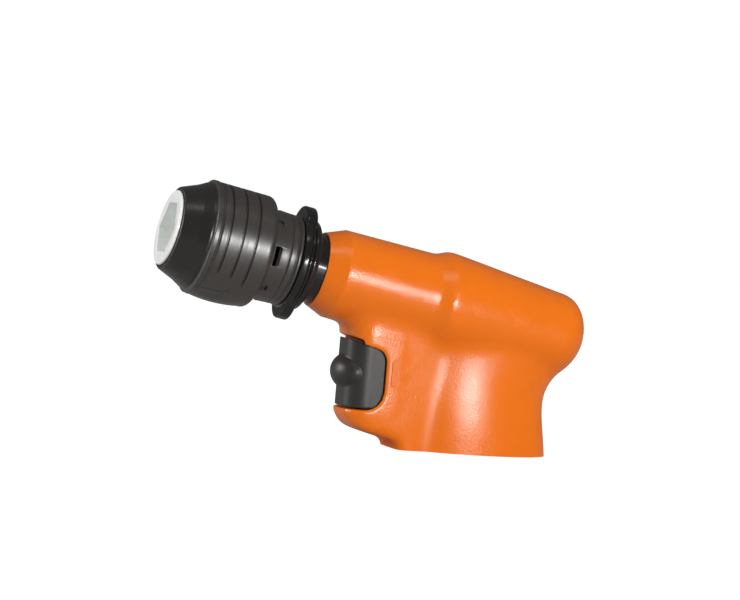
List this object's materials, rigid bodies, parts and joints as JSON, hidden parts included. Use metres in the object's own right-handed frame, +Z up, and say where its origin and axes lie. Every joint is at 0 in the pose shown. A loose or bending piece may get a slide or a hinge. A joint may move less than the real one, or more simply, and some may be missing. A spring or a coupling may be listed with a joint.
{
  "type": "bone access drill",
  "caption": "Handheld powered driver with a trigger and a quick-change coupler whose rotating core takes a hexagonal needle hub.",
  "frame": {"origin": "middle of the handle's flat foot", "axes": "+Z up from the foot, +X towards the working end, +Y to the left side; the spindle leans back 10.8 degrees from +X"},
  "size_m": [0.1826, 0.0462, 0.1021],
  "materials": {
    "orange_shell": "satin moulded",
    "trigger_grey": "fine moulded texture",
    "lens_orange": "smooth translucent",
    "coupler_black": "satin turned",
    "coupler_gloss": "gloss",
    "core_white": "gloss",
    "steel": "turned",
    "screw_steel": "plated",
    "spring_steel": "drawn wire",
    "brass": "pressed",
    "rubber_black": "moulded",
    "gear_plastic": "moulded",
    "inner_black": "moulded",
    "board_green": "laminate",
    "cell_wrap": "wrapped"
  },
  "bodies": {
    "driver": {"housing_left": "orange_shell", "housing_right": "orange_shell", "case_screws": "screw_steel", "indicator_lens": "lens_orange", "foot_plate": "orange_shell", "foot_screws": "screw_steel", "foot_gasket": "rubber_black", "battery_cells": "cell_wrap", "battery_holder": "inner_black", "battery_contacts": "brass", "switch_body": "inner_black", "trigger_spring": "spring_steel", "motor_can": "steel", "motor_magnets": "steel", "motor_end_cap": "inner_black", "motor_terminals": "brass", "motor_screws": "screw_steel", "control_board": "board_green", "board_parts": "inner_black", "ring_gear": "gear_plastic", "gearbox_rear_plate": "inner_black", "gearbox_front_plate": "inner_black", "gearbox_screws": "screw_steel", "thrust_washer": "gear_plastic", "neck_sleeve": "coupler_gloss", "neck_seal": "rubber_black", "bayonet_pins": "steel", "bearing_outer_ring": "steel", "bearing_circlip": "spring_steel", "collar": "coupler_black", "core_bush": "gear_plastic", "sleeve_spring": "spring_steel"},
    "output": {"coupler_core": "core_white", "core_circlip": "spring_steel", "output_spindle": "steel", "output_carrier": "steel", "bearing_inner_ring": "steel"},
    "first_carrier": {"input_carrier": "steel"},
    "rotor": {"motor_shaft": "steel", "rotor_core": "steel", "motor_pinion": "steel"},
    "ball_set": {"bearing_balls": "steel", "bearing_cage": "brass"},
    "grip": {"grip_sleeve": "coupler_black"},
    "lock": {"lock_ring": "coupler_gloss"},
    "trigger_body": {"trigger": "trigger_grey"},
    "plunger": {"switch_plunger": "gear_plastic"},
    "output_planet_1": {"output_planet_1": "gear_plastic"},
    "input_planet_1": {"input_planet_1": "gear_plastic"},
    "output_planet_2": {"output_planet_2": "gear_plastic"},
    "input_planet_2": {"input_planet_2": "gear_plastic"},
    "output_planet_3": {"output_planet_3": "gear_plastic"},
    "input_planet_3": {"input_planet_3": "gear_plastic"},
    "latch_pin_1": {"latch_pin_1": "steel"},
    "latch_pin_2": {"latch_pin_2": "steel"},
    "latch_pin_3": {"latch_pin_3": "steel"}
  },
  "joints": [
    {"name": "output_spin", "type": "hinge", "parent": "driver", "child": "output", "pos_m": [0, 0, 0.0565], "axis": [0.9823, 0, 0.1874], "continuous": true},
    {"name": "first_carrier_spin", "type": "hinge", "parent": "driver", "child": "first_carrier", "pos_m": [0, 0, 0.0565], "axis": [0.9823, 0, 0.1874], "continuous": true},
    {"name": "rotor_spin", "type": "hinge", "parent": "driver", "child": "rotor", "pos_m": [0, 0, 0.0565], "axis": [0.9823, 0, 0.1874], "continuous": true},
    {"name": "ball_set_spin", "type": "hinge", "parent": "driver", "child": "ball_set", "pos_m": [0, 0, 0.0565], "axis": [0.9823, 0, 0.1874], "continuous": true},
    {"name": "output_planet_1_spin", "type": "hinge", "parent": "output", "child": "output_planet_1", "pos_m": [0, 0.0081, 0.0565], "axis": [0.9823, 0, 0.1874], "continuous": true},
    {"name": "input_planet_1_spin", "type": "hinge", "parent": "first_carrier", "child": "input_planet_1", "pos_m": [0, 0.0081, 0.0565], "axis": [0.9823, 0, 0.1874], "continuous": true},
    {"name": "output_planet_2_spin", "type": "hinge", "parent": "output", "child": "output_planet_2", "pos_m": [-0.00131, -0.00405, 0.06339], "axis": [0.9823, 0, 0.1874], "continuous": true},
    {"name": "input_planet_2_spin", "type": "hinge", "parent": "first_carrier", "child": "input_planet_2", "pos_m": [-0.00131, -0.00405, 0.06339], "axis": [0.9823, 0, 0.1874], "continuous": true},
    {"name": "output_planet_3_spin", "type": "hinge", "parent": "output", "child": "output_planet_3", "pos_m": [0.00131, -0.00405, 0.04961], "axis": [0.9823, 0, 0.1874], "continuous": true},
    {"name": "input_planet_3_spin", "type": "hinge", "parent": "first_carrier", "child": "input_planet_3", "pos_m": [0.00131, -0.00405, 0.04961], "axis": [0.9823, 0, 0.1874], "continuous": true},
    {"name": "grip_slide", "type": "slide", "parent": "driver", "child": "grip", "axis": [-0.9823, 0, -0.1874], "range_m": [0, 0.004], "stiffness_N_per_m": 1200, "springref_m": -0.004, "deforming": ["sleeve_spring"]},
    {"name": "latch_1_slide", "type": "slide", "parent": "output", "child": "latch_pin_1", "axis": [-0.1874, 0, 0.9823], "range_m": [0, 0.0012]},
    {"name": "latch_2_slide", "type": "slide", "parent": "output", "child": "latch_pin_2", "axis": [0.0937, -0.866, -0.4911], "range_m": [0, 0.0012]},
    {"name": "latch_3_slide", "type": "slide", "parent": "output", "child": "latch_pin_3", "axis": [0.0937, 0.866, -0.4911], "range_m": [0, 0.0012]},
    {"name": "lock_turn", "type": "hinge", "parent": "driver", "child": "lock", "pos_m": [0, 0, 0.0565], "axis": [0.9823, 0, 0.1874], "range_deg": [0, 30]},
    {"name": "trigger_slide", "type": "slide", "parent": "driver", "child": "trigger_body", "axis": [-1, 0, 0], "range_m": [0, 0.0035], "stiffness_N_per_m": 900, "springref_m": -0.003, "deforming": ["trigger_spring"]},
    {"name": "plunger_slide", "type": "slide", "parent": "driver", "child": "plunger", "axis": [-1, 0, 0], "range_m": [0, 0.0035]}
  ],
  "couplings": [
    {"joint": "first_carrier_spin", "follows": "output_spin", "ratio": 4.5},
    {"joint": "rotor_spin", "follows": "output_spin", "ratio": 20.25},
    {"joint": "ball_set_spin", "follows": "output_spin", "ratio": 0.421},
    {"joint": "output_planet_1_spin", "follows": "output_spin", "ratio": -2.8},
    {"joint": "input_planet_1_spin", "follows": "output_spin", "ratio": -12.6},
    {"joint": "output_planet_2_spin", "follows": "output_spin", "ratio": -2.8},
    {"joint": "input_planet_2_spin", "follows": "output_spin", "ratio": -12.6},
    {"joint": "output_planet_3_spin", "follows": "output_spin", "ratio": -2.8},
    {"joint": "input_planet_3_spin", "follows": "output_spin", "ratio": -12.6},
    {"joint": "latch_1_slide", "follows": "grip_slide", "ratio": 0.3},
    {"joint": "latch_2_slide", "follows": "grip_slide", "ratio": 0.3},
    {"joint": "latch_3_slide", "follows": "grip_slide", "ratio": 0.3},
    {"joint": "plunger_slide", "follows": "trigger_slide", "ratio": 1}
  ]
}
